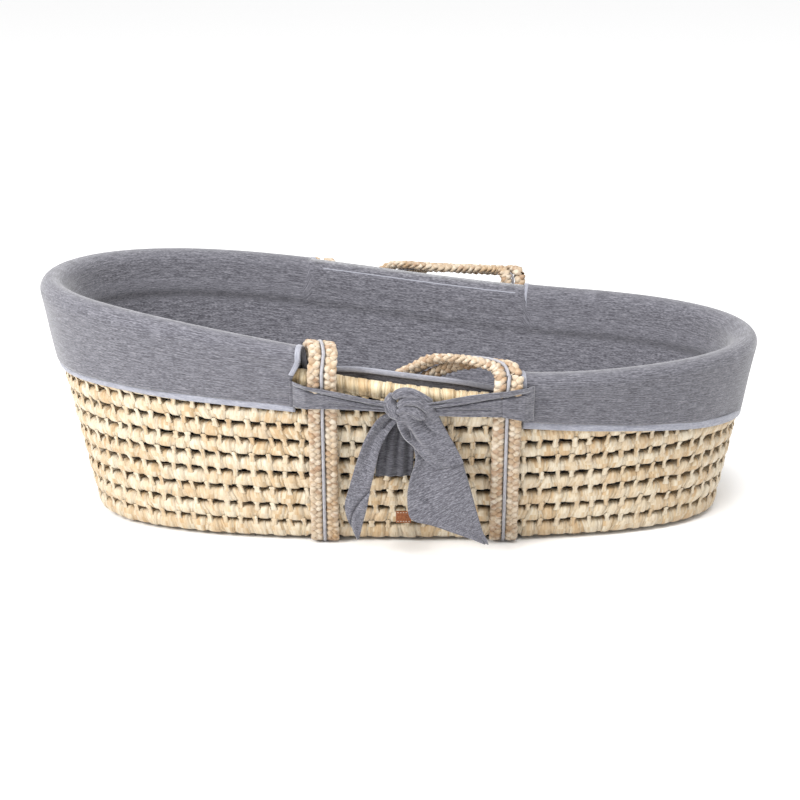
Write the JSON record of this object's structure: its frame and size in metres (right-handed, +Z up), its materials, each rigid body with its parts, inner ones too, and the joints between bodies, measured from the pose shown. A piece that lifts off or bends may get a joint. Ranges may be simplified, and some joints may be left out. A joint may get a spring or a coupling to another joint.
{
  "type": "moses basket",
  "caption": "Oval coiled basket with a raised head end, rope carry handles, a tie-on fabric cover with bows, and a mattress.",
  "frame": {"origin": "centre of the basket's flat underside", "axes": "+X from the raised head end to the foot end, +Y from the front with the visible bow to the rear, +Z up"},
  "size_m": [0.8396, 0.5392, 0.2778],
  "materials": {
    "wrapped_husk": "satin",
    "husk_braid": "matte",
    "grey_jersey": "matte",
    "edge_tape": "matte",
    "mattress_cotton": "matte",
    "mattress_foam": "matte",
    "tab_leather": "satin"
  },
  "bodies": {
    "basket": {"base_mat": "wrapped_husk", "rim_coil": "wrapped_husk", "strap_left": "husk_braid", "strap_right": "husk_braid", "liner_floor": "grey_jersey", "liner_wall": "grey_jersey", "skirt_head": "grey_jersey", "skirt_foot": "grey_jersey", "hem_binding_head": "edge_tape", "hem_binding_foot": "edge_tape", "notch_binding_front": "edge_tape", "notch_binding_rear": "edge_tape", "label_tab": "tab_leather", "coil_row_01": "wrapped_husk", "coil_row_02": "wrapped_husk", "coil_row_03": "wrapped_husk", "coil_row_04": "wrapped_husk", "coil_row_05": "wrapped_husk", "coil_row_06": "wrapped_husk", "coil_row_07": "wrapped_husk", "coil_row_08": "wrapped_husk", "head_short_row_1": "wrapped_husk", "head_short_row_2": "wrapped_husk", "head_short_row_3": "wrapped_husk", "tie_front_left": "grey_jersey", "tie_front_right": "grey_jersey", "bow_front_knot": "grey_jersey", "bow_front_back_loop": "grey_jersey", "bow_front_left_tail": "grey_jersey", "bow_front_right_tail": "grey_jersey", "bow_front_front_loop": "grey_jersey", "tie_rear_left": "grey_jersey", "tie_rear_right": "grey_jersey", "bow_rear_knot": "grey_jersey", "bow_rear_back_loop": "grey_jersey", "bow_rear_left_tail": "grey_jersey", "bow_rear_right_tail": "grey_jersey", "bow_rear_front_loop": "grey_jersey"},
    "front_handle_loop": {"front_handle": "husk_braid"},
    "rear_handle_loop": {"rear_handle": "husk_braid"},
    "mattress": {"mattress_sheet": "mattress_cotton", "mattress_core": "mattress_foam"}
  },
  "joints": [
    {"name": "front_handle_swing", "type": "hinge", "parent": "basket", "child": "front_handle_loop", "pos_m": [0.01945, -0.21925, 0.24189], "axis": [0.9934, 0.0194, -0.1132], "range_deg": [0, 190]},
    {"name": "rear_handle_swing", "type": "hinge", "parent": "basket", "child": "rear_handle_loop", "pos_m": [0.02569, 0.25176, 0.23777], "axis": [0.9992, -0.0074, -0.0398], "range_deg": [0, 190]},
    {"name": "mattress_lift", "type": "slide", "parent": "basket", "child": "mattress", "axis": [0, 0, 1], "range_m": [0, 0.32]}
  ]
}
